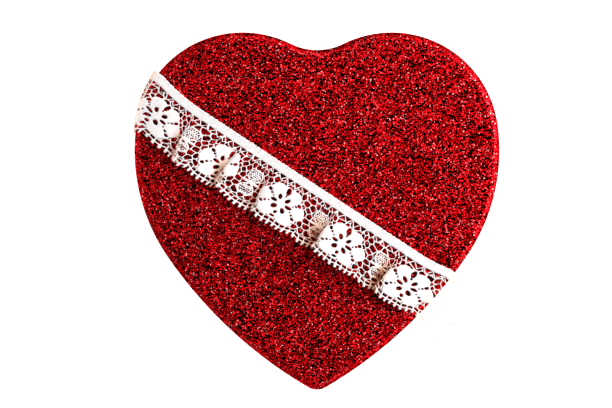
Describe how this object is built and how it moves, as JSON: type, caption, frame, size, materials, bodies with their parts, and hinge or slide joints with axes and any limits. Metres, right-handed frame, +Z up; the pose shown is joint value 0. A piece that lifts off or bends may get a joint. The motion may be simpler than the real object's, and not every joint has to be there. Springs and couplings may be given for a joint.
{
  "type": "heart-shaped gift box",
  "caption": "Rigid heart-shaped gift box with a padded glitter lid that lifts off a telescoping base, crossed by a gathered lace trim.",
  "frame": {"origin": "on the underside of the base, on the heart's middle line, half way from the tops of the lobes to the tip", "axes": "+Z up out of the lid, +Y along the middle line towards the cleft, +X to the right seen from above with the cleft away from the viewer"},
  "size_m": [0.2042, 0.1952, 0.0485],
  "materials": {
    "grey_board": "matte",
    "kraft_tape": "matte",
    "red_paper": "satin",
    "white_paper": "matte",
    "red_glitter": "glitter",
    "wadding": "matte",
    "white_lace": "matte",
    "white_thread": "matte"
  },
  "bodies": {
    "base": {"base_board": "grey_board", "base_wall_band": "grey_board", "base_seam_tape": "kraft_tape", "base_wall_wrap": "red_paper", "base_bottom_paper": "red_paper", "base_floor_lining": "white_paper", "base_wall_lining": "white_paper"},
    "lid": {"lid_top_board": "grey_board", "lid_wall_band": "grey_board", "lid_seam_tape": "kraft_tape", "lid_wall_wrap": "red_glitter", "lid_top_lining": "white_paper", "lid_wall_lining": "white_paper", "lid_padding": "wadding", "lid_cover": "red_glitter", "lace_ruffle": "white_lace", "lace_heading": "white_lace", "lace_stitches": "white_thread"}
  },
  "joints": [
    {"name": "lid_lift", "type": "slide", "parent": "base", "child": "lid", "axis": [0, 0, 1], "range_m": [0, 0.08]}
  ]
}
